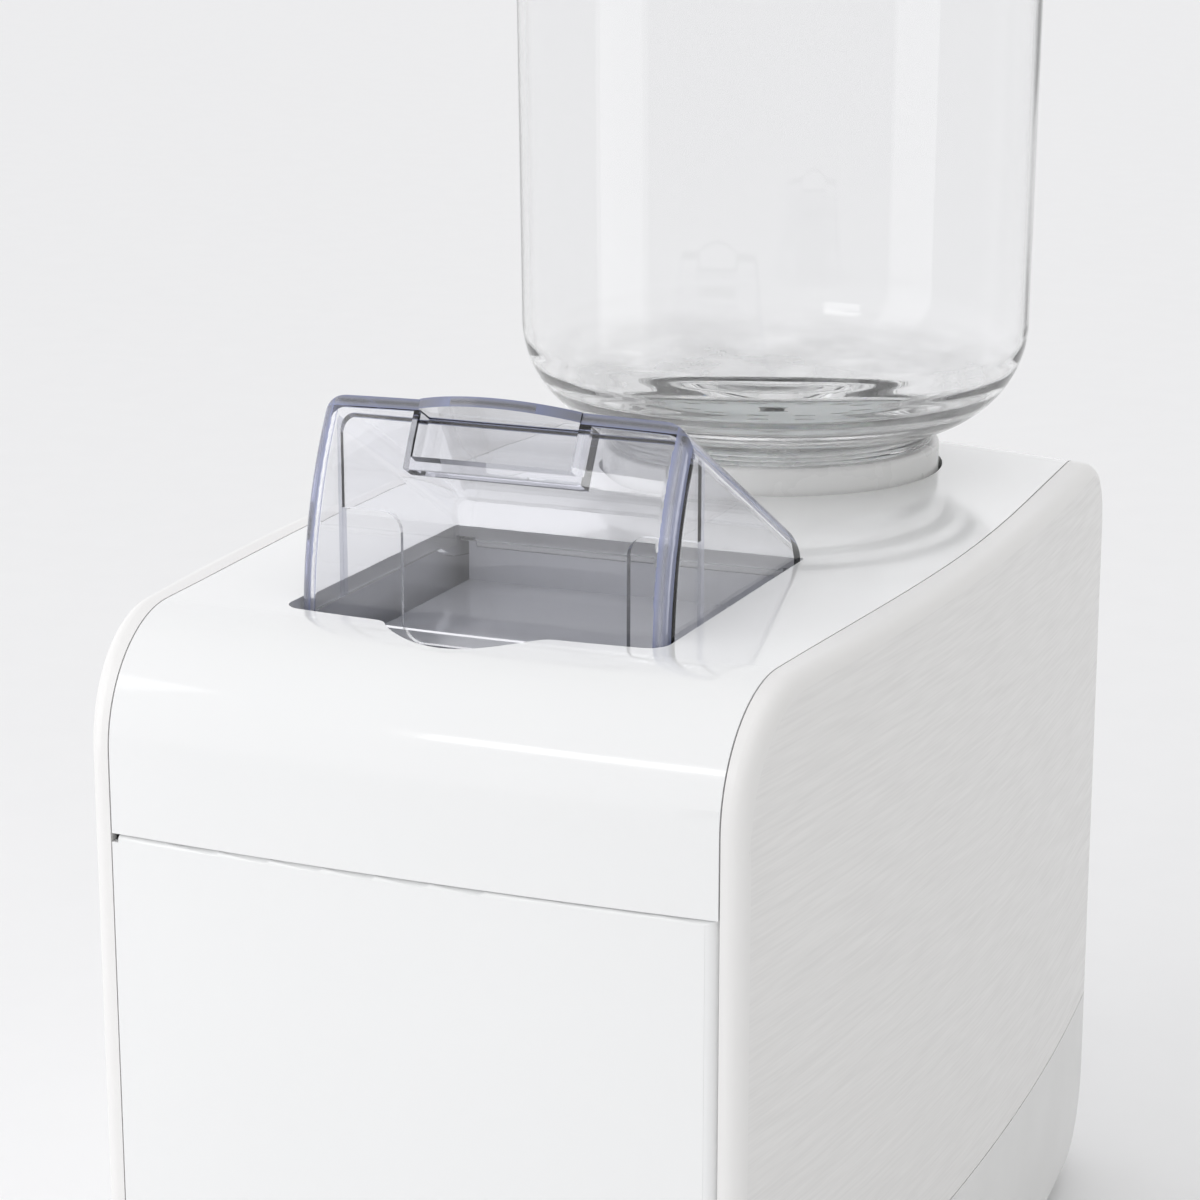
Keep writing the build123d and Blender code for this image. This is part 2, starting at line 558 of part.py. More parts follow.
hood_outer = hood_form(0, HOOD_SKIRT)
hood_hollow = hood_form(HOOD_WALL, HOOD_SKIRT + 10)
POCKET_HALF = TAB_HALF - 0.2
with BuildPart() as pocket_wall:
    with BuildSketch(HOOD_SIDE):
        with Locations((HOOD_R + HOOD_WALL, PLATE_V - HOOD_WALL - POCKET_HEIGHT / 2)):
            Rectangle(2 * (POCKET_DEPTH + 2 * HOOD_WALL), POCKET_HEIGHT + 2 * HOOD_WALL)
    extrude(amount=POCKET_HALF + 2, both=True)
    add(hood_outer, mode=Mode.INTERSECT)
with BuildPart() as clear_hood:
    add(hood_outer)
    add(hood_hollow, mode=Mode.SUBTRACT)
    add(pocket_wall.part)
    with BuildSketch(HOOD_SIDE):
        with Locations((HOOD_R - POCKET_DEPTH + 10, PLATE_V - HOOD_WALL - POCKET_HEIGHT / 2)):
            Rectangle(20, POCKET_HEIGHT)
    extrude(amount=POCKET_HALF, both=True, mode=Mode.SUBTRACT)
    with BuildSketch(HOOD_PLATE.offset(PLATE_V - HOOD_WALL)):
        with BuildLine():
            tip = -HOOD_R - HOOD_BOW
            Polyline((-TAB_HALF, tip), (-TAB_HALF, tip + 8), (TAB_HALF, tip + 8), (TAB_HALF, tip))
            ThreePointArc((-TAB_HALF, tip), (0, tip - TAB_REACH), (TAB_HALF, tip))
        make_face()
    extrude(amount=HOOD_WALL)
    for side in (-1, 1):
        with BuildSketch(Plane.YZ.offset(side * (HOOD_HALF - HOOD_WALL / 2) - HOOD_WALL / 2)):
            with BuildLine():
                Polyline(
                    (RIM_REAR - 14, TOP - HOOD_SKIRT + 0.5), (RIM_REAR - 1, TOP - HOOD_SKIRT + 0.5),
                    (RIM_REAR - 0.6, TOP - HOOD_SKIRT), (HINGE_Y, HINGE_Z + 2.9), (HINGE_Y, HINGE_Z - 2.9),
                    (RIM_REAR - 6, TOP - 6.5), close=True,
                )
            make_face()
            with Locations((HINGE_Y, HINGE_Z)):
                Circle(2.9)
                Circle(PIN_R + RUN, mode=Mode.SUBTRACT)
        extrude(amount=HOOD_WALL)
save(clear_hood, "clear_hood")

with BuildPart() as hood_inner_plate:
    with BuildSketch(Plane.XZ.offset(-INNER_PLATE_Y - INNER_PLATE_T / 2)) as tee:
        block_top, shoulder_z, tongue_z = TOP + 60, TOP + 17.3, TOP - 12
        with Locations((0, (block_top + shoulder_z) / 2)):
            Rectangle(2 * HOOD_HALF, block_top - shoulder_z)
        with Locations((0, (shoulder_z + tongue_z) / 2)):
            Rectangle(54, shoulder_z - tongue_z)
        inner_corners = tee.vertices().filter_by_position(Axis.X, -28, 28).group_by(Axis.Y)
        fillet(inner_corners[0] + inner_corners[-1], 4.5)
    extrude(amount=INNER_PLATE_T)
    add(hood_hollow, mode=Mode.INTERSECT)
save(hood_inner_plate, "hood_inner_plate")

with BuildPart() as hood_hinge_pins:
    for side in (-1, 1):
        rod((side * 38.2, HINGE_Y, HINGE_Z), (side * (WELL_HALF + LINER_T), HINGE_Y, HINGE_Z), PIN_R)
save(hood_hinge_pins, "hood_hinge_pins")


def turned(*points):
    """A solid of revolution about the bottle's axis, from a closed outline of (radius, height)."""
    with BuildPart() as ring:
        with BuildSketch(Plane.XZ.offset(-BOTTLE_Y)):
            with BuildLine():
                Polyline(*points, close=True)
            make_face()
        revolve(axis=Axis((0, BOTTLE_Y, 0), (0, 0, 1)))
    return ring.part


# ---- bottle, cap and valve ---------------------------------------------------------------------------
CAP_FLOOR = CAP_BOTTOM + 3.0
SEAL_T = 1.6
LIP_Z = CAP_FLOOR + SEAL_T
SHOULDER_Z = TOP + 38.0
SHOULDER_X = BOTTLE_R - SHOULDER_R
TOP_R = BOTTLE_R + 2.1


def shoulder(radius, start_r):
    """Start, middle and end of the shoulder's round, from the neck to the side."""
    from_angle = (start_r - SHOULDER_X) / radius
    low = (start_r, SHOULDER_Z - radius * (1 - from_angle ** 2) ** 0.5)
    mid = (SHOULDER_X + radius * sin(radians(50)), SHOULDER_Z - radius * cos(radians(50)))
    return low, mid, (SHOULDER_X + radius, SHOULDER_Z)


with BuildPart() as bottle:
    with BuildSketch(Plane.XZ.offset(-BOTTLE_Y)) as wall_section:
        with BuildLine():
            low, mid, high = shoulder(SHOULDER_R, 41.6)
            Polyline((36.4, LIP_Z), (NECK_R, LIP_Z), (NECK_R, CAP_TOP + 0.6), (41.2, CAP_TOP + 1.2),
                     (41.2, CAP_TOP + 2.2), (40.6, CAP_TOP + 2.8), low)
            ThreePointArc(low, mid, high)
            Line(high, (TOP_R, BOTTLE_TOP - 14))
            ThreePointArc((TOP_R, BOTTLE_TOP - 14), (TOP_R - 4, BOTTLE_TOP - 4), (TOP_R - 14, BOTTLE_TOP))
            ThreePointArc((TOP_R - 14, BOTTLE_TOP), (30, BOTTLE_TOP - 3), (8, BOTTLE_TOP - 4))
            Polyline((8, BOTTLE_TOP - 4), (0, BOTTLE_TOP - 4), (0, BOTTLE_TOP - 6.5), (8, BOTTLE_TOP - 6.5))
            ThreePointArc((8, BOTTLE_TOP - 6.5), (30, BOTTLE_TOP - 5.5), (TOP_R - 14, BOTTLE_TOP - 2.4))
            ThreePointArc((TOP_R - 14, BOTTLE_TOP - 2.4), (TOP_R - 5.9, BOTTLE_TOP - 5.9),
                          (TOP_R - BOTTLE_WALL, BOTTLE_TOP - 14))
            in_low, in_mid, in_high = shoulder(SHOULDER_R - BOTTLE_WALL, 38.6)
            Line((TOP_R - BOTTLE_WALL, BOTTLE_TOP - 14), in_high)
            ThreePointArc(in_high, in_mid, in_low)
            Polyline(in_low, (36.4, in_low[1] - 1.6), (36.4, LIP_Z))
        make_face()
    revolve(axis=Axis((0, BOTTLE_Y, 0), (0, 0, 1)))
save(bottle, "bottle")

GUIDE_R = 9.0
with BuildPart() as bottle_cap:
    add(turned((GUIDE_R, CAP_BOTTOM - 8), (GUIDE_R + 2, CAP_BOTTOM - 8), (GUIDE_R + 2, CAP_BOTTOM),
            (CAP_R, CAP_BOTTOM), (CAP_R, CAP_TOP), (NECK_R + 0.3, CAP_TOP), (NECK_R + 0.3, CAP_FLOOR),
            (GUIDE_R, CAP_FLOOR)))
    fillet(bottle_cap.edges().filter_by(GeomType.CIRCLE).group_by(Axis.Z)[-1].sort_by(SortBy.RADIUS)[-1], 1.0)
save(bottle_cap, "bottle_cap")

with BuildPart() as cap_seal:
    add(turned((33.5, CAP_FLOOR), (NECK_R, CAP_FLOOR), (NECK_R, LIP_Z), (33.5, LIP_Z)))
save(cap_seal, "cap_seal")

HEAD_R = 11.0
CAGE_TOP = CAP_FLOOR + 18.0
CAGE_R = 35.5
HEAD_Z = CAP_FLOOR + VALVE_LIFT
with BuildPart() as valve_cage:
    add(turned((4, CAGE_TOP - 2), (CAGE_R, CAGE_TOP - 2), (CAGE_R, CAGE_TOP), (4, CAGE_TOP)))
    with BuildSketch(Plane.XY.offset(CAGE_TOP - 3)):
        with Locations((0, BOTTLE_Y)):
            with PolarLocations(24, 12):
                Circle(3.2)
    extrude(amount=4, mode=Mode.SUBTRACT)
    with BuildSketch(Plane.XY.offset(CAP_FLOOR)):
        with Locations((0, BOTTLE_Y)):
            with PolarLocations(13.4, 3):
                Rectangle(2.4, 5)
    extrude(amount=CAGE_TOP - CAP_FLOOR)
save(valve_cage, "valve_cage")

POST_TOP = CAP_BOTTOM - 6.0
with BuildPart() as valve_plunger:
    add(turned((0, POST_TOP), (2.5, POST_TOP), (2.5, HEAD_Z), (HEAD_R, HEAD_Z),
               (HEAD_R, HEAD_Z + 3), (0, HEAD_Z + 3)))
    with BuildSketch(Plane.XY.offset(POST_TOP + 1)):
        with Locations((0, BOTTLE_Y)):
            with PolarLocations(5, 3):
                Rectangle(7.8, 1.2)
    extrude(amount=9)
save(valve_plunger, "valve_plunger")

with BuildPart() as valve_seal:
    seal_r = GUIDE_R + 0.3
    add(turned((seal_r, HEAD_Z - 1.5), (HEAD_R, HEAD_Z - 1.5), (HEAD_R, HEAD_Z), (seal_r, HEAD_Z)))
save(valve_seal, "valve_seal")

WIRE_R = 0.5
SPRING_LOW = HEAD_Z + 3
with BuildPart() as valve_spring:
    with BuildLine(Plane((0, BOTTLE_Y, SPRING_LOW + WIRE_R))) as coil:
        Helix(pitch=1.7, height=CAGE_TOP - 2 - SPRING_LOW - 2 * WIRE_R, radius=7)
    wire = coil.wires()[0]
    with BuildSketch(Plane(origin=wire @ 0, z_dir=wire % 0)):
        Circle(WIRE_R - 0.02)
    sweep(path=wire, is_frenet=True)
save(valve_spring, "valve_spring")

# ---- seat and reservoir ------------------------------------------------------------------------------
SEAT_RIM = 176.0
with BuildPart() as bottle_seat:
    add(turned((40, 168), (46, 168), (46, SEAT_RIM), (53, SEAT_RIM), (53, SEAT_RIM + 3), (46, SEAT_RIM + 3),
            (46, TOP - 6), (COLLAR_HOLE_R, TOP - 6), (COLLAR_HOLE_R, CAP_BOTTOM),
            (40, CAP_BOTTOM)))
    add(turned((0, 165), (5, 165), (2.4, POST_TOP - 0.1), (0, POST_TOP - 0.1)))
    with BuildSketch(Plane.XY.offset(168)):
        with Locations((0, BOTTLE_Y)):
            with PolarLocations(22, 3):
                Rectangle(39, 3)
    extrude(amount=3)
save(bottle_seat, "bottle_seat")

RESERVOIR_R = 53.0
RESERVOIR_LOW = SHELF_Z + 3
OUTLET = (-30, FRONT + 190)
with BuildPart() as reservoir:
    inner_r = RESERVOIR_R - 2.5
    add(turned((0, RESERVOIR_LOW), (RESERVOIR_R, RESERVOIR_LOW), (RESERVOIR_R, SEAT_RIM),
               (inner_r, SEAT_RIM), (inner_r, RESERVOIR_LOW + 2.5), (0, RESERVOIR_LOW + 2.5)))
    with BuildSketch(Plane.XY.offset(RESERVOIR_LOW - 12)):
        with Locations(OUTLET):
            Circle(HOSE_BORE)
    extrude(amount=12)
    with BuildSketch(Plane.XY.offset(RESERVOIR_LOW - 14)):
        with Locations(OUTLET):
            Circle(BARB_BORE)
    extrude(amount=20, mode=Mode.SUBTRACT)
save(reservoir, "reservoir")

FLOAT_X, FLOAT_Y = 28, BOTTLE_Y
STEM_R = 3.0
with BuildPart() as float_stem:
    rod((FLOAT_X, FLOAT_Y, RESERVOIR_LOW + 2.5), (FLOAT_X, FLOAT_Y, 166), STEM_R)
    rod((FLOAT_X, FLOAT_Y, RESERVOIR_LOW + 2.5), (FLOAT_X, FLOAT_Y, RESERVOIR_LOW + 4.5), 6)
    rod((FLOAT_X, FLOAT_Y, 164), (FLOAT_X, FLOAT_Y, 166), 4.5)
save(float_stem, "float_stem")

FLOAT_LOW = RESERVOIR_LOW + 4.6
with BuildPart() as level_float:
    rod((FLOAT_X, FLOAT_Y, FLOAT_LOW), (FLOAT_X, FLOAT_Y, FLOAT_LOW + 12), 10)
    fillet(level_float.edges(), 1.5)
    with BuildSketch(Plane.XY.offset(FLOAT_LOW - 1)):
        with Locations((FLOAT_X, FLOAT_Y)):
            Circle(STEM_R + 0.3)
    extrude(amount=14, mode=Mode.SUBTRACT)
save(level_float, "level_float")

# ---- inner frame -------------------------------------------------------------------------------------
FRAME_LOW = BODY_BOTTOM + WALL
FEED_X, FEED_Z = -41, 116
with BuildPart() as inner_frame:
    block((-70, BULKHEAD_Y, FRAME_LOW), (70, BULKHEAD_Y + 2.5, 176))
    block((-66, BULKHEAD_Y + 2.5, SHELF_Z), (66, FRONT + 262, RESERVOIR_LOW))
    for side in (-1, 1):
        block((side * 57, FRONT + 232, FRAME_LOW), (side * 65, FRONT + 240, SHELF_Z))
    with BuildSketch(Plane.XY.offset(SHELF_Z - 1)):
        with Locations(OUTLET):
            Circle(6)
    extrude(amount=8, mode=Mode.SUBTRACT)
    with BuildSketch(Plane.XZ.offset(-BULKHEAD_Y + 1)):
        with Locations((FEED_X, FEED_Z)):
            Circle(6)
        with Locations((45, 100)):
            Circle(5)
    extrude(amount=-5, mode=Mode.SUBTRACT)
save(inner_frame, "inner_frame")

# ---- pump ----------------------------------------------------------------------------------------------
PUMP_LEFT, PUMP_RIGHT = -50.0, -30.0
PORT_X = -41.0
PORT_TOP = PUMP_Z + PUMP_R + 10
with BuildPart() as pump_housing:
    rod((PUMP_LEFT, PUMP_Y, PUMP_Z), (PUMP_RIGHT, PUMP_Y, PUMP_Z), PUMP_R)
    for dy in (-9, 9):
        rod((PORT_X, PUMP_Y + dy, PUMP_Z + 12), (PORT_X, PUMP_Y + dy, PORT_TOP), HOSE_BORE)
    with BuildSketch(Plane.YZ.offset(PUMP_LEFT + 2.5)):
        with Locations((PUMP_Y, PUMP_Z)):
            Circle(PUMP_R - 3)
    extrude(amount=PUMP_RIGHT - PUMP_LEFT - 5, mode=Mode.SUBTRACT)
    with BuildSketch(Plane.YZ.offset(PUMP_RIGHT - 5)):
        with Locations((PUMP_Y, PUMP_Z)):
            Circle(2 + RUN)
    extrude(amount=10, mode=Mode.SUBTRACT)
    with BuildSketch(Plane.XY.offset(PUMP_Z + 10)):
        with Locations((PORT_X, PUMP_Y - 9), (PORT_X, PUMP_Y + 9)):
            Circle(BARB_BORE)
    extrude(amount=40, mode=Mode.SUBTRACT)
save(pump_housing, "pump_housing")

with BuildPart() as pump_impeller:
    rod((PUMP_LEFT + 5, PUMP_Y, PUMP_Z), (-8, PUMP_Y, PUMP_Z), 2)
    rod((PUMP_LEFT + 5, PUMP_Y, PUMP_Z), (PUMP_LEFT + 7, PUMP_Y, PUMP_Z), 14)
    with BuildSketch(Plane.YZ.offset(PUMP_LEFT + 6)):
        with Locations((PUMP_Y, PUMP_Z)):
            with PolarLocations(8.5, 6):
                Rectangle(11, 1.6)
    extrude(amount=7)
save(pump_impeller, "pump_impeller")

with BuildPart() as pump_motor:
    rod((PUMP_RIGHT, PUMP_Y, PUMP_Z), (24, PUMP_Y, PUMP_Z), 16)
    rod((24, PUMP_Y, PUMP_Z), (27, PUMP_Y, PUMP_Z), 6)
    with BuildSketch(Plane.YZ.offset(PUMP_RIGHT - 1)):
        with Locations((PUMP_Y, PUMP_Z)):
            Circle(2 + RUN)
    extrude(amount=26, mode=Mode.SUBTRACT)
save(pump_motor, "pump_motor")

with BuildPart() as pump_bracket:
    block((-24, PUMP_Y - 18, FRAME_LOW), (18, PUMP_Y + 18, FRAME_LOW + 3))
    block((-24, PUMP_Y - 14, FRAME_LOW), (-20, PUMP_Y + 14, PUMP_Z))
    block((14, PUMP_Y - 14, FRAME_LOW), (18, PUMP_Y + 14, PUMP_Z))
    with BuildSketch(Plane.YZ.offset(-30)):
        with Locations((PUMP_Y, PUMP_Z)):
            Circle(16)
    extrude(amount=60, mode=Mode.SUBTRACT)
save(pump_bracket, "pump_bracket")

# ---- heater and hoses ----------------------------------------------------------------------------------
HEATER_LOW, HEATER_TOP = 66.0, 94.0
HEATER_OUT_X = 30.0
BARB_TOP = HEATER_TOP + 10
with BuildPart() as heater_block:
    block((-48, HEATER_Y - 12, HEATER_LOW), (42, HEATER_Y + 12, HEATER_TOP))
    fillet(heater_block.edges().filter_by(Axis.Z), 6)
    with BuildSketch(Plane.XY.offset(HEATER_TOP - 1)):
        with Locations((FEED_X, HEATER_Y), (HEATER_OUT_X, HEATER_Y)):
            Circle(HOSE_BORE)
    extrude(amount=11)
    with BuildSketch(Plane.XY.offset(HEATER_TOP - 14)):
        with Locations((FEED_X, HEATER_Y), (HEATER_OUT_X, HEATER_Y)):
            Circle(BARB_BORE)
    extrude(amount=30, mode=Mode.SUBTRACT)
    for x in (-36, 30):
        block((x - 4, HEATER_Y + 10, HEATER_LOW + 4), (x + 4, BULKHEAD_Y, HEATER_LOW + 16))
save(heater_block, "heater_block")

with BuildPart() as thermal_cutout:
    rod((-6, HEATER_Y, HEATER_TOP), (-6, HEATER_Y, HEATER_TOP + 6), 8)
    block((-18, HEATER_Y - 3, HEATER_TOP), (6, HEATER_Y + 3, HEATER_TOP + 1.2))
save(thermal_cutout, "thermal_cutout")

HOSES = {
    "supply_hose": ([(*OUTLET, RESERVOIR_LOW - 1), (*OUTLET, 108), (PORT_X, PUMP_Y + 9, 96),
                     (PORT_X, PUMP_Y + 9, PORT_TOP - 9)], 8),
    "feed_hose": ([(PORT_X, PUMP_Y - 9, PORT_TOP - 9), (PORT_X, PUMP_Y - 9, FEED_Z),
                   (FEED_X, HEATER_Y, FEED_Z), (FEED_X, HEATER_Y, HEATER_TOP + 0.5)], 12),
    "outlet_hose": ([(HEATER_OUT_X, HEATER_Y, HEATER_TOP + 0.5), (HEATER_OUT_X, HEATER_Y, SPOUT_Z),
                     (0, HEATER_Y, SPOUT_Z), (0, BAY_BACK + 6.5, SPOUT_Z)], 11),
}
for label, (points, bend) in HOSES.items():
    with BuildPart() as water_hose:
        add(hose(points, bend, HOSE_R, HOSE_BORE))
    save(water_hose, label)

# ---- electrics -----------------------------------------------------------------------------------------
BOARD_Y = BULKHEAD_Y + 6
with BuildPart() as control_board:
    block((-10, BOARD_Y, 84), (62, BOARD_Y + 1.6, 122))
    for x in (-6, 58):
        for z in (88, 118):
            rod((x, BULKHEAD_Y + 2.5, z), (x, BOARD_Y, z), 2)
save(control_board, "control_board")

with BuildPart() as board_components:
    front = BOARD_Y + 1.6
    block((-4, front, 88), (12, front + 12, 104))
    block((20, front, 90), (34, front + 3, 100))
    block((40, front, 104), (54, front + 8, 110))
    for x in (24, 36, 48):
        rod((x, front, 116), (x, front + 10, 116), 3)
save(board_components, "board_components")

with BuildPart() as power_supply:
    block((-44, FRONT + 214, FRAME_LOW), (44, FRONT + 246, 40))
    fillet(power_supply.edges().filter_by(Axis.Z), 3)
save(power_supply, "power_supply")

INLET_FACE = FRONT + 270.4
with BuildPart() as power_inlet:
    block((INLET_X - 13.8, INLET_FACE - 22, SOCKET_Z - 9.8), (INLET_X + 13.8, INLET_FACE, SOCKET_Z + 9.8))
    fillet(power_inlet.edges().filter_by(Axis.Y), 2)
    with BuildSketch(Plane.XZ.offset(-INLET_FACE)):
        with Locations((INLET_X, SOCKET_Z)):
            RectangleRounded(23.6, 15.6, 3)
    extrude(amount=16, mode=Mode.SUBTRACT)
save(power_inlet, "power_inlet")

with BuildPart() as inlet_pins:
    for dx, dz in ((-7, -2), (7, -2), (0, 2.5)):
        x, z = INLET_X + dx, SOCKET_Z + dz
        block((x - 1, INLET_FACE - 16, z - 2), (x + 1, INLET_FACE - 3, z + 2))
save(inlet_pins, "inlet_pins")

ROCKER_Y = INLET_FACE - 2.2
with BuildPart() as switch_frame:
    block((SWITCH_X - 6.4, INLET_FACE - 18, SOCKET_Z - 9.4), (SWITCH_X + 6.4, INLET_FACE, SOCKET_Z + 9.4))
    block((SWITCH_X - 5.4, INLET_FACE - 10, SOCKET_Z - 8.4), (SWITCH_X + 5.4, INLET_FACE + 2, SOCKET_Z + 8.4),
          mode=Mode.SUBTRACT)
save(switch_frame, "switch_frame")

ROCKER_TILT = 8.0
with BuildPart() as power_rocker:
    tilted = (0, cos(radians(ROCKER_TILT)), sin(radians(ROCKER_TILT)))
    with BuildSketch(Plane(origin=(SWITCH_X, ROCKER_Y, SOCKET_Z), x_dir=tilted, z_dir=(1, 0, 0))):
        with BuildLine():
            Polyline((2.0, -7.2), (-4, -6.2), (-4, 6.2), (2.0, 7.2))
            ThreePointArc((2.0, 7.2), (0.8, 0), (2.0, -7.2))
        make_face()
    extrude(amount=5.0, both=True)
save(power_rocker, "power_rocker")

with BuildPart() as case_screws:
    for x, y in BASE_POSTS:
        rod((x, y, BODY_BOTTOM + 0.6), (x, y, BODY_BOTTOM + 2.6), 3.4)
        rod((x, y, BODY_BOTTOM + 2.6), (x, y, BODY_BOTTOM + 22), 1.8)
save(case_screws, "case_screws")
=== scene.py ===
import json
import math

import bmesh
import bpy
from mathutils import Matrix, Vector


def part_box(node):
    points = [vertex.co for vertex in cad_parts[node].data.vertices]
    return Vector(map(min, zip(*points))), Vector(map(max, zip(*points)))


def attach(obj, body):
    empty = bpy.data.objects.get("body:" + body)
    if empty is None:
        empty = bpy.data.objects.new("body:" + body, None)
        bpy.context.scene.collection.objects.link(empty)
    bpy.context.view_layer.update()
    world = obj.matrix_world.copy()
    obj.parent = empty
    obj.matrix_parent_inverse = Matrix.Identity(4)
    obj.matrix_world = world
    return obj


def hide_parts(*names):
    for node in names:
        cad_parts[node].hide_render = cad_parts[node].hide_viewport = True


# Looks of the countertop water dispenser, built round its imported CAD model. Metres, +Z up.

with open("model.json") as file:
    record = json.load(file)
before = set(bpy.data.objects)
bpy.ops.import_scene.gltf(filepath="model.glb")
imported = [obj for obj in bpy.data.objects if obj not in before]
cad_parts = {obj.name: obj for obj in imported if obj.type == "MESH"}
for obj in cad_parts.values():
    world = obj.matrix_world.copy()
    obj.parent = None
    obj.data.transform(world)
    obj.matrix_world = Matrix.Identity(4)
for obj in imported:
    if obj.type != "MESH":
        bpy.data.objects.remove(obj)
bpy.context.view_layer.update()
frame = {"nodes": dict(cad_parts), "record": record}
nodes = frame["nodes"]

MM = 0.001

# ---- camera ------------------------------------------------------------------------------------
CAMERA_PLACE = (0.2949, -0.7217, 0.3822)
CAMERA_TILT = math.radians(75.46)
CAMERA_TURN = math.radians(23.34)
LENS = 99.75
SENSOR = 36.0

# ---- light -------------------------------------------------------------------------------------
SKY_LEFT = (1.0, 1.0, 1.015)        # studio walls to the left and in front
SKY_RIGHT = (0.52, 0.52, 0.51)      # darker studio to the right
SKY_STRENGTH = 1.08
FLOOR_COLOUR = (0.89, 0.89, 0.893)
FLOOR_REACH = 30.0
SOFTBOXES = (                       # name, place, what it faces, width, height, watts
    ("key_panel", (-0.70, -0.50, 0.43), (0, 0.05, 0.4), 0.40, 0.84, 1.2),
    ("front_strip", (-0.45, -1.5, 1.15), (0, 0, 0.2), 0.6, 0.14, 1.0),
)

# ---- side panels -----------------------------------------------------------------------------------
PANEL_COLOUR = (0.83, 0.822, 0.812)
FLAT_FACING = 0.97                  # faces that look this squarely sideways carry hairlines
HAIRLINE_FALL = math.radians(9)
HAIRLINE_STRETCH = (1, 0.45, 12)
RIM_SHEEN_TONE = 0.7                      # how light the smooth rim is painted, on the same scale as the hairline streaks: a painted sheen

# ---- hood ----------------------------------------------------------------------------------------
HOOD_HINGE_Y = -12.0 * MM
HOOD_HINGE_Z = 194.2 * MM
HOOD_OPEN = math.radians(28.8)      # tilt of the open hood's plate
PLATE_TOP = 5.8 * MM                # the plate's top, square to it from the hinge
HOOD_WALL = 2.45 * MM
HOOD_REACH = 80.0 * MM              # beyond this from the hinge lies the front wall
# Violet painted on the hood's edges: the acrylic's own tint, put on where light runs a long way through it.
EDGE_VIOLET = (0.36, 0.40, 0.62)
CORNER_FACING = 0.60                # sideways part of the normal in the middle of a rounded corner
CORNER_SPREAD = 0.34
RIM_TINT = 0.45                     # the inner plate's rim is fainter than the corners
# How far the painted violet band takes the place of clear acrylic.
EDGE_PAINT_COVER = 0.55
EDGE_ROUGHNESS = 0.2

# ---- bottle glass --------------------------------------------------------------------------------
WALL = 2.2 * MM
SHOULDER_R = 28 * MM                # round between the side and the neck
SHOULDER_RISE = 38 * MM             # centre of that round above the body's flat top
NECK_BORE_R = 36.4 * MM
BEAD_R = 41.3 * MM                  # moulded rings on the neck above the cap
BASE_ROUND = 14 * MM
BASE_DENT = 4 * MM                  # the bottle's base is hollow by this much in its middle
SHOULDER_INSET = 2.1 * MM           # the shoulder is this much narrower than the base end
TAPER = 0.9 * MM
TAPER_RISE = 110 * MM
LIP_THICKNESS = 3 * MM
BEAD_ROUND = 0.5 * MM
BEAD_COUNT = 3
SHOULDER_THICKENING = 2.8 * MM
SHOULDER_STEPS = 36
PAINTED_PALE_LOW = 10 * MM                 # glass is painted palest, as painted light, up to here above the body's flat top
PAINTED_PALE_HIGH = 30 * MM                # and quite clear of that painted light from here on
TURNS = 144                         # steps round the bottle


# ---- materials -----------------------------------------------------------------------------------
def new_material(name, colour, roughness, **sockets):
    """A Principled material with its plain numbers on the shader's own sockets."""
    material = bpy.data.materials.new(name)
    material.use_nodes = True
    shader = material.node_tree.nodes["Principled BSDF"]
    shader.inputs["Base Color"].default_value = (*colour, 1)
    shader.inputs["Roughness"].default_value = roughness
    for socket, value in sockets.items():
        shader.inputs[socket.replace("_", " ")].default_value = value
    return material


def calculate(material, operation, *values):
    """One Math node over outputs or plain numbers; returns its output."""
    sum_node = material.node_tree.nodes.new("ShaderNodeMath")
    sum_node.operation = operation
    for socket, value in zip(sum_node.inputs, values):
        if isinstance(value, (int, float)):
            socket.default_value = value
        else:
            material.node_tree.links.new(value, socket)
    return sum_node.outputs["Value"]


def components(material, coordinate):
    """X, Y and Z of the object's own "Object" or "Normal" coordinate."""
    tree = material.node_tree
    where = tree.nodes.new("ShaderNodeTexCoord")
    split = tree.nodes.new("ShaderNodeSeparateXYZ")
    tree.links.new(where.outputs[coordinate], split.inputs["Vector"])
    return split.outputs


def noise(material, scale, detail=2.0, stretch=(1, 1, 1), turn=(0, 0, 0)):
    """Noise over the object's own coordinates, stretched and turned; returns its output."""
    tree = material.node_tree
    where = tree.nodes.new("ShaderNodeTexCoord")
    placed = tree.nodes.new("ShaderNodeMapping")
    placed.inputs["Scale"].default_value = stretch
    placed.inputs["Rotation"].default_value = turn
    grain = tree.nodes.new("ShaderNodeTexNoise")
    grain.inputs["Scale"].default_value = scale
    grain.inputs["Detail"].default_value = detail
    tree.links.new(where.outputs["Object"], placed.inputs["Vector"])
    tree.links.new(placed.outputs["Vector"], grain.inputs["Vector"])
    return grain.outputs["Fac"]


def tint(material, factor, dark, light, low=0.3, high=0.7):
    """Colours the surface between dark and light as factor goes from low to high."""
    tree = material.node_tree
    ramp = tree.nodes.new("ShaderNodeValToRGB")
    ramp.color_ramp.elements[0].position = low
    ramp.color_ramp.elements[0].color = (*dark, 1)
    ramp.color_ramp.elements[1].position = high
    ramp.color_ramp.elements[1].color = (*light, 1)
    tree.links.new(factor, ramp.inputs["Fac"])
    tree.links.new(ramp.outputs["Color"], tree.nodes["Principled BSDF"].inputs["Base Color"])


def vary_roughness(material, factor, low, high):
    """Lets the roughness wander between low and high."""
    tree = material.node_tree
    spread = tree.nodes.new("ShaderNodeMapRange")
    spread.inputs["From Min"].default_value = 0.3
    spread.inputs["From Max"].default_value = 0.7
    spread.inputs["To Min"].default_value = low
    spread.inputs["To Max"].default_value = high
    tree.links.new(factor, spread.inputs["Value"])
    tree.links.new(spread.outputs["Result"], tree.nodes["Principled BSDF"].inputs["Roughness"])


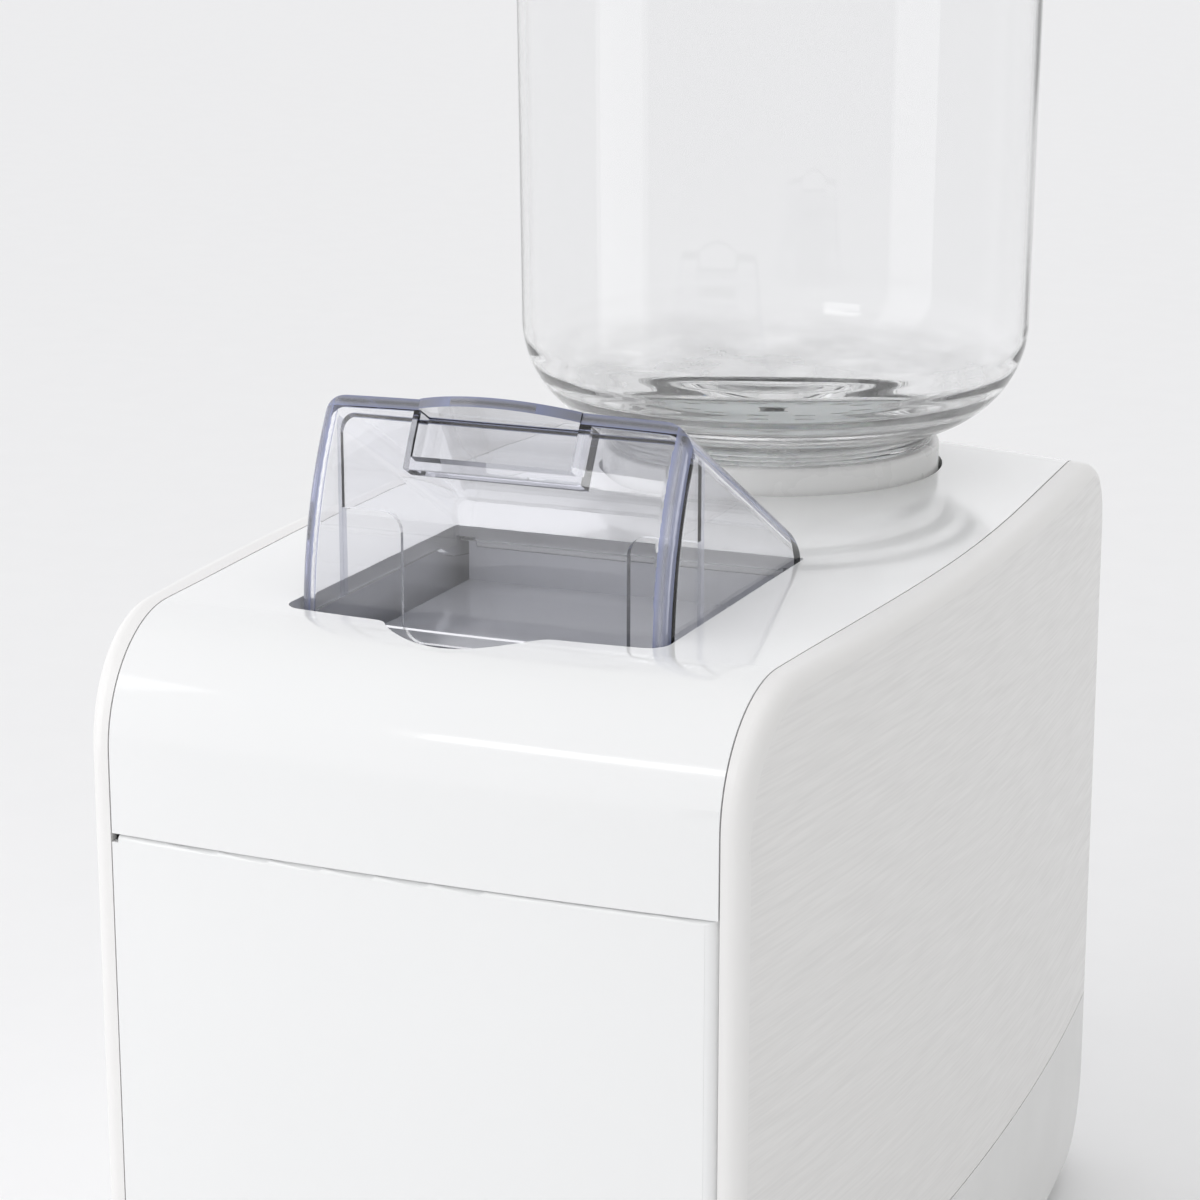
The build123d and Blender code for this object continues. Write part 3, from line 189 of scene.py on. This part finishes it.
def bump(material, height, depth, strength=1.0):
    """Raises the surface by up to depth metres where height is high."""
    tree = material.node_tree
    relief = tree.nodes.new("ShaderNodeBump")
    relief.inputs["Distance"].default_value = depth
    relief.inputs["Strength"].default_value = strength
    tree.links.new(height, relief.inputs["Height"])
    tree.links.new(relief.outputs["Normal"], tree.nodes["Principled BSDF"].inputs["Normal"])


def scaled(colour, factor):
    """A colour made lighter or darker."""
    return tuple(min(1.0, part * factor) for part in colour)


def moulded(name, colour, roughness, grain=900.0, depth=0.00002, mottle=0.02, **sockets):
    """Moulded plastic or rubber: a faint mottle, a fine grain and a wandering gloss."""
    material = new_material(name, colour, roughness, **sockets)
    tint(material, noise(material, 35, 4), scaled(colour, 1 - mottle), scaled(colour, 1 + mottle))
    vary_roughness(material, noise(material, 60, 3), roughness * 0.85, roughness * 1.15)
    bump(material, noise(material, grain, 2), depth)
    return material


def metal(name, colour, roughness, stretch):
    """Metal with fine marks drawn out along one direction."""
    material = new_material(name, colour, roughness, Metallic=1.0)
    marks = noise(material, 400, 3, stretch=stretch)
    tint(material, marks, scaled(colour, 0.88), scaled(colour, 1.08))
    vary_roughness(material, marks, roughness * 0.8, roughness * 1.25)
    bump(material, marks, 0.00001)
    return material


def clear(name, ior, absorbed, density, ripple_scale, ripple_depth):
    """Clear glass or acrylic. Long paths through it, as along an edge, take up its colour."""
    material = new_material(name, (1, 1, 1), 0.0, IOR=ior, Transmission_Weight=1.0)
    tree = material.node_tree
    body = tree.nodes.new("ShaderNodeVolumeAbsorption")
    body.inputs["Color"].default_value = (*absorbed, 1)
    body.inputs["Density"].default_value = density
    tree.links.new(body.outputs["Volume"], tree.nodes["Material Output"].inputs["Volume"])
    bump(material, noise(material, ripple_scale, 1), ripple_depth)
    return material


def streaked(name):
    """The side panels: flat faces with fine hairline streaks falling towards the rear, smooth round their
    rims, where they are painted lighter as a painted sheen.
    """
    material = new_material(name, PANEL_COLOUR, 0.42)
    lines = noise(material, 120, 2, stretch=HAIRLINE_STRETCH, turn=(HAIRLINE_FALL, 0, 0))
    facing = calculate(material, "ABSOLUTE", components(material, "Normal")["X"])
    flat = calculate(material, "GREATER_THAN", facing, FLAT_FACING)
    # Off the flat faces the value is the rim's tone, which paints the smooth rim lighter as a painted
    # sheen.
    swing = calculate(material, "MULTIPLY", calculate(material, "SUBTRACT", lines, RIM_SHEEN_TONE), flat)
    hairlines_and_rim_sheen = calculate(material, "ADD", swing, RIM_SHEEN_TONE)
    tint(material, hairlines_and_rim_sheen, scaled(PANEL_COLOUR, 0.965), scaled(PANEL_COLOUR, 1.035))
    vary_roughness(material, hairlines_and_rim_sheen, 0.42, 0.28)
    bump(material, hairlines_and_rim_sheen, 0.00003, 0.4)
    return material


def two_lines(material, place, centre, half):
    """1 at both borders of a band and less in its middle, 0 outside it. The lower middle leaves a painted
    highlight down the band.
    """
    inside = calculate(material, "COMPARE", place, centre, half)
    offset = calculate(material, "ABSOLUTE", calculate(material, "SUBTRACT", place, centre))
    profile = calculate(material, "MULTIPLY_ADD", offset, 0.7 / half, 0.3)
    return calculate(material, "MULTIPLY", inside, profile)


def hood_acrylic(name):
    """Clear acrylic with violet painted on its rounded corners, plate edge and inner plate's rim: the
    acrylic's own tint, painted where light runs a long way through it, with a paler middle to each band as
    a painted highlight.
    """
    material = clear(name, 1.49, (0.25, 0.3, 0.75), 12.0, 18, 0.0003)
    place, normal = components(material, "Object"), components(material, "Normal")
    outward = calculate(material, "MULTIPLY", normal["X"], calculate(material, "SIGN", place["X"]))
    corner = two_lines(material, outward, CORNER_FACING, CORNER_SPREAD)
    sine, cosine = math.sin(HOOD_OPEN), math.cos(HOOD_OPEN)
    y = calculate(material, "SUBTRACT", place["Y"], HOOD_HINGE_Y)
    z = calculate(material, "SUBTRACT", place["Z"], HOOD_HINGE_Z)
    along = calculate(material, "MULTIPLY_ADD", y, -cosine, calculate(material, "MULTIPLY", z, sine))
    above = calculate(material, "MULTIPLY_ADD", y, sine, calculate(material, "MULTIPLY", z, cosine))
    far = calculate(material, "GREATER_THAN", along, HOOD_REACH)
    frontal = calculate(material, "LESS_THAN", normal["Y"], -0.5)
    band = two_lines(material, above, PLATE_TOP - HOOD_WALL / 2, HOOD_WALL / 2)
    front = calculate(material, "MULTIPLY", band, calculate(material, "MULTIPLY", far, frontal))
    low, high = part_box("hood_inner_plate")
    middle, half = (low.y + high.y) / 2, (high.y - low.y) / 2 - 0.02 * MM
    in_plate = calculate(material, "COMPARE", place["Y"], middle, half)
    level = calculate(material, "COMPARE", normal["Y"], 0.0, 0.3)
    rim = calculate(material, "MULTIPLY", calculate(material, "MULTIPLY", in_plate, level), RIM_TINT)
    edge = calculate(material, "MAXIMUM", calculate(material, "MAXIMUM", corner, front), rim)
    tint(material, edge, (1, 1, 1), EDGE_VIOLET, 0.0, 1.0)
    tree = material.node_tree
    shader = tree.nodes["Principled BSDF"]
    passing = calculate(material, "MULTIPLY_ADD", edge, -EDGE_PAINT_COVER, 1.0)
    tree.links.new(passing, shader.inputs["Transmission Weight"])
    frosted = calculate(material, "MULTIPLY", edge, EDGE_ROUGHNESS)
    tree.links.new(frosted, shader.inputs["Roughness"])
    return material


def bottle_clear(name):
    """Clear glass painted paler, with painted swirl highlights, where it is thick, low in the shoulder and
    the neck: a milky diffuse part stands in for the light there.
    """
    material = clear(name, 1.37, (0.75, 0.82, 0.80), 2.0, 9, 0.0003)
    tree = material.node_tree
    shader = tree.nodes["Principled BSDF"]
    shader.inputs["Base Color"].default_value = (0.982, 0.983, 0.985, 1)
    fade = tree.nodes.new("ShaderNodeMapRange")
    body_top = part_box("top_front_cover")[1].z
    fade.inputs["From Min"].default_value = body_top + PAINTED_PALE_LOW
    fade.inputs["From Max"].default_value = body_top + PAINTED_PALE_HIGH
    fade.inputs["To Min"].default_value = 1.0
    fade.inputs["To Max"].default_value = 0.0
    tree.links.new(components(material, "Object")["Z"], fade.inputs["Value"])
    # Painted swirl highlights and paleness: low down, where the noise is high, the glass gives up
    # transmission and shows milky white.
    swirl = noise(material, 55, 4, stretch=(1, 1, 3.5))
    swirls = calculate(material, "MULTIPLY_ADD", swirl, -1.2, 0.34)
    painted_pale_swirls = calculate(material, "MULTIPLY", fade.outputs["Result"], swirls)
    passing = calculate(material, "ADD", painted_pale_swirls, 1.0)
    tree.links.new(passing, shader.inputs["Transmission Weight"])
    return material


def glossy_white(name):
    """The white cover, door and tray front: high gloss with a very slight moulding ripple."""
    colour = (0.885, 0.89, 0.89)
    material = new_material(name, colour, 0.11, Coat_Weight=0.45, Coat_Roughness=0.03)
    tint(material, noise(material, 12, 3), scaled(colour, 0.992), scaled(colour, 1.006))
    vary_roughness(material, noise(material, 30, 3), 0.09, 0.14)
    bump(material, noise(material, 45, 2), 0.00001)
    return material


SURFACES = {
    "cover_white": glossy_white("cover_white"),
    "side_panel": streaked("side_panel"),
    "base_white": moulded("base_white", (0.80, 0.80, 0.795), 0.40),
    "hood_clear": hood_acrylic("hood_clear"),
    "liner_grey": moulded("liner_grey", (0.75, 0.76, 0.80), 0.12, depth=0.000005),
    "bottle_glass": bottle_clear("bottle_glass"),
    "cap_white": moulded("cap_white", (0.93, 0.93, 0.925), 0.28),
    "soft_seal": moulded("soft_seal", (0.72, 0.72, 0.70), 0.55),
    "feet_rubber": moulded("feet_rubber", (0.03, 0.03, 0.03), 0.7, grain=500),
    "pin_steel": metal("pin_steel", (0.62, 0.62, 0.63), 0.28, (1, 1, 6)),
    "magnet_grey": metal("magnet_grey", (0.36, 0.36, 0.38), 0.35, (1, 1, 1)),
    "bay_grey": moulded("bay_grey", (0.42, 0.43, 0.45), 0.38),
    "spout_steel": metal("spout_steel", (0.78, 0.78, 0.79), 0.12, (1, 1, 1)),
    "grille_steel": metal("grille_steel", (0.64, 0.64, 0.65), 0.30, (8, 0.5, 1)),
    "paddle_grey": moulded("paddle_grey", (0.09, 0.095, 0.105), 0.42),
    "tank_natural": moulded("tank_natural", (0.80, 0.81, 0.80), 0.35, Subsurface_Weight=0.1),
    "hose_silicone": moulded("hose_silicone", (0.78, 0.79, 0.78), 0.45, Subsurface_Weight=0.1),
    "float_white": moulded("float_white", (0.82, 0.82, 0.80), 0.5),
    "frame_grey": moulded("frame_grey", (0.45, 0.45, 0.46), 0.55),
    "heater_alloy": metal("heater_alloy", (0.68, 0.68, 0.69), 0.42, (1, 1, 1)),
    "switch_black": moulded("switch_black", (0.025, 0.025, 0.028), 0.45),
    "rocker_black": moulded("rocker_black", (0.02, 0.02, 0.022), 0.2),
    "pump_plastic": moulded("pump_plastic", (0.05, 0.05, 0.055), 0.45),
    "motor_can": metal("motor_can", (0.58, 0.58, 0.60), 0.32, (0.6, 5, 5)),
    "board_green": moulded("board_green", (0.02, 0.16, 0.06), 0.3, mottle=0.12),
    "parts_dark": moulded("parts_dark", (0.045, 0.045, 0.05), 0.4),
    "pin_brass": metal("pin_brass", (0.80, 0.62, 0.30), 0.25, (1, 6, 1)),
}

for part in frame["record"]["subparts"]:
    node = nodes[part["node"]]
    node.data.materials.clear()
    node.data.materials.append(SURFACES[part["material_slot"]])


# ---- bottle --------------------------------------------------------------------------------------
def arc(centre_r, centre_z, radius, start, end, steps):
    """Points of an arc of a section, as (radius, height)."""
    angles = [math.radians(start + (end - start) * i / steps) for i in range(steps + 1)]
    return [(centre_r + radius * math.cos(a), centre_z + radius * math.sin(a)) for a in angles]


def outer_section(low, high, cap_top, body_top):
    """Outside of the inverted bottle, from its lip up to the middle of its base."""
    side_r = high.x
    shoulder_z = body_top + SHOULDER_RISE
    centre_r = side_r - SHOULDER_INSET - SHOULDER_R
    neck_r = NECK_BORE_R + LIP_THICKNESS
    points = [(NECK_BORE_R + 0.4 * MM, low.z), (neck_r, low.z + 0.4 * MM), (neck_r, cap_top + 0.3 * MM)]
    for bead in range(BEAD_COUNT):
        bead_z = cap_top + (0.9 + 1.15 * bead) * MM
        points += arc(BEAD_R - BEAD_ROUND, bead_z, BEAD_ROUND, -80, 80, 4)
    points += arc(centre_r, shoulder_z, SHOULDER_R, -80, 0, 24)
    points += [(side_r - TAPER, shoulder_z + TAPER_RISE)]
    points += arc(side_r - BASE_ROUND, high.z - BASE_ROUND, BASE_ROUND, 0, 90, 12)
    dent_z = high.z - BASE_DENT
    points += [(30 * MM, dent_z + MM), (12 * MM, dent_z), (0, dent_z)]
    return points, centre_r, shoulder_z


def inner_section(low, high, centre_r, shoulder_z):
    """Inside of the bottle, from the middle of its base down to its lip, thickest in the shoulder."""
    side_r = high.x
    round_r = BASE_ROUND - WALL
    points = [(0, high.z - 6.6 * MM), (30 * MM, high.z - 5.6 * MM)]
    points += arc(side_r - BASE_ROUND, high.z - BASE_ROUND, round_r, 90, 0, 12)
    points += [(side_r - TAPER - WALL, shoulder_z + TAPER_RISE)]
    for step in range(SHOULDER_STEPS + 1):
        share = step / SHOULDER_STEPS
        angle = math.radians(-78 * share)
        ripple = 0.35 * MM * share * math.sin(5.5 * math.tau * share)
        thick = WALL + SHOULDER_THICKENING * share ** 2 + ripple
        reach = SHOULDER_R - thick
        points.append((centre_r + reach * math.cos(angle), shoulder_z + reach * math.sin(angle)))
    bottom_z = points[-1][1]
    points += [(NECK_BORE_R + 0.3 * MM, bottom_z - 1.2 * MM), (NECK_BORE_R, bottom_z - 3 * MM)]
    points += [(NECK_BORE_R, low.z + 0.3 * MM)]
    return points


def drawn_glass(turn, height, low_z, high_z):
    """How far the inside strays from round: long vertical draws, and slow swirls low down."""
    draws = math.sin(7 * turn) + 0.8 * math.sin(12 * turn + 1.3) + 0.5 * math.sin(23 * turn + 0.4)
    lowness = max(0.0, 1 - (height - low_z) / (45 * MM))
    swirl = math.sin(3 * turn + 260 * height) + 0.6 * math.sin(5 * turn - 410 * height)
    fade = min(1.0, max(0.0, (high_z - height) / (30 * MM)))
    return fade * (0.035 * MM * draws + 0.16 * MM * lowness * swirl)


def make_bottle():
    """The bottle as one closed glass wall turned about its axis."""
    low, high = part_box("bottle")
    axis = (low + high) / 2
    reach = Vector((high.x - axis.x, 0, high.z))
    cap_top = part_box("bottle_cap")[1].z
    body_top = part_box("top_front_cover")[1].z
    outside, centre_r, shoulder_z = outer_section(low, reach, cap_top, body_top)
    inside = inner_section(low, reach, centre_r, shoulder_z)
    section = outside + inside
    points = []
    for step in range(TURNS):
        turn = math.tau * step / TURNS
        for place, (radius, height) in enumerate(section):
            if place >= len(outside) and radius > NECK_BORE_R + MM:
                radius += drawn_glass(turn, height, low.z, high.z)
            points.append((axis.x + radius * math.cos(turn), axis.y + radius * math.sin(turn), height))
    count = len(section)
    faces = []
    for step in range(TURNS):
        here, there = step * count, (step + 1) % TURNS * count
        for place in range(count):
            after = (place + 1) % count
            faces.append((here + place, there + place, there + after, here + after))
    mesh = bpy.data.meshes.new("glass_bottle")
    mesh.from_pydata(points, [], faces)
    mesh.validate()
    return finished(mesh, "bottle_glass", angle=40)


def finished(mesh, slot, angle):
    """Welds a new mesh, turns its faces outwards and makes it an object with its material."""
    shape = bmesh.new()
    shape.from_mesh(mesh)
    bmesh.ops.remove_doubles(shape, verts=shape.verts, dist=0.001 * MM)
    bmesh.ops.dissolve_degenerate(shape, edges=shape.edges, dist=0.001 * MM)
    bmesh.ops.recalc_face_normals(shape, faces=shape.faces)
    shape.to_mesh(mesh)
    shape.free()
    piece = bpy.data.objects.new(mesh.name, mesh)
    bpy.context.scene.collection.objects.link(piece)
    mesh.materials.append(SURFACES[slot])
    mesh.shade_smooth()
    mesh.set_sharp_from_angle(angle=math.radians(angle))
    return piece


bottle = make_bottle()
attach(bottle, "bottle_unit")
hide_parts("bottle")


# ---- studio ----------------------------------------------------------------------------------------
def make_floor():
    """A wide pale floor with a soft mottle."""
    mesh = bpy.data.meshes.new("studio_floor")
    corners = [(x * FLOOR_REACH, y * FLOOR_REACH, 0) for x, y in ((-1, -1), (1, -1), (1, 1), (-1, 1))]
    mesh.from_pydata(corners, [], [(0, 1, 2, 3)])
    floor = bpy.data.objects.new("studio_floor", mesh)
    bpy.context.scene.collection.objects.link(floor)
    mesh.materials.append(moulded("studio_floor", FLOOR_COLOUR, 0.7, mottle=0.004))


def make_sky():
    """Even studio walls that are darker to the right."""
    world = bpy.data.worlds.new("studio")
    bpy.context.scene.world = world
    world.use_nodes = True
    tree = world.node_tree
    where = tree.nodes.new("ShaderNodeTexCoord")
    split = tree.nodes.new("ShaderNodeSeparateXYZ")
    ramp = tree.nodes.new("ShaderNodeValToRGB")
    shift = tree.nodes.new("ShaderNodeMapRange")
    shift.inputs["From Min"].default_value = -0.2
    shift.inputs["From Max"].default_value = 0.9
    ramp.color_ramp.elements[0].color = (*SKY_LEFT, 1)
    ramp.color_ramp.elements[1].color = (*SKY_RIGHT, 1)
    tree.links.new(where.outputs["Generated"], split.inputs["Vector"])
    tree.links.new(split.outputs["X"], shift.inputs["Value"])
    tree.links.new(shift.outputs["Result"], ramp.inputs["Fac"])
    tree.links.new(ramp.outputs["Color"], tree.nodes["Background"].inputs["Color"])
    tree.nodes["Background"].inputs["Strength"].default_value = SKY_STRENGTH


def make_softbox(name, place, target, width, height, power):
    """A soft rectangular light at place, facing target."""
    light = bpy.data.lights.new(name, "AREA")
    light.shape = "RECTANGLE"
    light.size = width
    light.size_y = height
    light.energy = power
    lamp = bpy.data.objects.new(name, light)
    lamp.location = place
    lamp.rotation_euler = (Vector(target) - Vector(place)).to_track_quat("-Z", "Y").to_euler()
    bpy.context.scene.collection.objects.link(lamp)


def make_camera():
    """The view of the product photograph."""
    lens = bpy.data.cameras.new("camera")
    lens.lens = LENS
    lens.sensor_width = SENSOR
    camera = bpy.data.objects.new("camera", lens)
    camera.location = CAMERA_PLACE
    camera.rotation_euler = (CAMERA_TILT, 0, CAMERA_TURN)
    bpy.context.scene.collection.objects.link(camera)
    bpy.context.scene.camera = camera


make_floor()
make_sky()
for softbox in SOFTBOXES:
    make_softbox(*softbox)
make_camera()
bpy.context.scene.view_settings.view_transform = "Standard"
